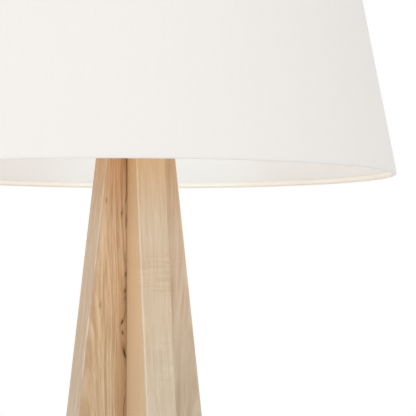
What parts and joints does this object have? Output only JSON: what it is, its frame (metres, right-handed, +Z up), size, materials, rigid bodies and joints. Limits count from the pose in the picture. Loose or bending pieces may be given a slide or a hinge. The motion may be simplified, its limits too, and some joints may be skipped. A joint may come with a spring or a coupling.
{
  "type": "floor lamp",
  "caption": "Free-standing floor lamp: tapered wooden legs joined in a plus-shaped plan, a turn-knob lamp holder, a bulb and a harp that carries a tapered round cloth shade.",
  "frame": {"origin": "on the floor, on the lamp's axis", "axes": "+Z up along the pipe and the shade's axis; the legs lie along -Y (front), +X (right), +Y (back) and -X (left); the harp stands in the XZ plane"},
  "size_m": [0.5, 0.5, 1.5232],
  "materials": {
    "light_wood": "clear satin lacquer over light hardwood",
    "core_wood": "sawn and sanded",
    "dowel_wood": "smooth beech dowel",
    "felt": "pressed felt",
    "zinc_steel": "zinc plated",
    "satin_nickel": "satin nickel plate",
    "brass": "plain brass",
    "aluminium": "rolled sheet",
    "phenolic": "moulded phenolic",
    "fibre_board": "vulcanised fibre sleeve",
    "black_plastic": "moulded black plastic",
    "black_glass": "black glass insulator",
    "solder": "tinned contact",
    "frosted_glass": "inside frosted",
    "white_cloth": "fine plain weave",
    "white_styrene": "smooth white sheet",
    "white_wire": "white powder coat"
  },
  "bodies": {
    "base": {"leg_front": "light_wood", "leg_right": "light_wood", "leg_back": "light_wood", "leg_left": "light_wood", "centre_post": "core_wood", "leg_dowel_front_low": "dowel_wood", "leg_dowel_front_high": "dowel_wood", "leg_dowel_right_low": "dowel_wood", "leg_dowel_right_high": "dowel_wood", "leg_dowel_back_low": "dowel_wood", "leg_dowel_back_high": "dowel_wood", "leg_dowel_left_low": "dowel_wood", "leg_dowel_left_high": "dowel_wood", "foot_pad_front": "felt", "foot_pad_right": "felt", "foot_pad_back": "felt", "foot_pad_left": "felt", "lamp_pipe": "zinc_steel", "bottom_washer": "zinc_steel", "bottom_nut": "zinc_steel", "cord_bushing": "black_plastic", "top_nut": "zinc_steel", "top_plate": "satin_nickel", "plate_screw_front": "zinc_steel", "plate_screw_right": "zinc_steel", "plate_screw_back": "zinc_steel", "plate_screw_left": "zinc_steel", "harp_saddle": "satin_nickel", "harp_bow": "satin_nickel", "harp_stud": "brass", "socket_cap": "brass", "cap_set_screw": "zinc_steel", "socket_shell": "brass", "socket_insulator": "fibre_board", "socket_body": "phenolic", "screw_shell": "aluminium", "centre_contact": "brass", "terminal_screw_left": "brass", "terminal_screw_right": "brass"},
    "switch": {"switch_shaft": "brass", "switch_knob": "black_plastic"},
    "bulb": {"bulb_base": "aluminium", "bulb_insulator": "black_glass", "bulb_contact": "solder", "bulb_glass": "frosted_glass"},
    "sleeve_left": {"harp_sleeve_left": "brass"},
    "sleeve_right": {"harp_sleeve_right": "brass"},
    "shade": {"shade_fabric": "white_cloth", "shade_liner": "white_styrene", "shade_ring_bottom": "white_wire", "spider_fitter": "white_wire"},
    "finial": {"finial": "satin_nickel"}
  },
  "joints": [
    {"name": "switch_turn", "type": "hinge", "parent": "base", "child": "switch", "pos_m": [0, -0.03, 1.279], "axis": [0, -1, 0], "continuous": true},
    {"name": "bulb_unscrew", "type": "slide", "parent": "base", "child": "bulb", "axis": [0, 0, 1], "range_m": [0, 0.026]},
    {"name": "sleeve_left_lift", "type": "slide", "parent": "base", "child": "sleeve_left", "axis": [0, 0, 1], "range_m": [0, 0.012]},
    {"name": "sleeve_right_lift", "type": "slide", "parent": "base", "child": "sleeve_right", "axis": [0, 0, 1], "range_m": [0, 0.012]},
    {"name": "shade_turn", "type": "hinge", "parent": "base", "child": "shade", "pos_m": [0, 0, 1.484], "axis": [0, 0, 1], "continuous": true},
    {"name": "finial_unscrew", "type": "slide", "parent": "shade", "child": "finial", "axis": [0, 0, 1], "range_m": [0, 0.012]}
  ]
}
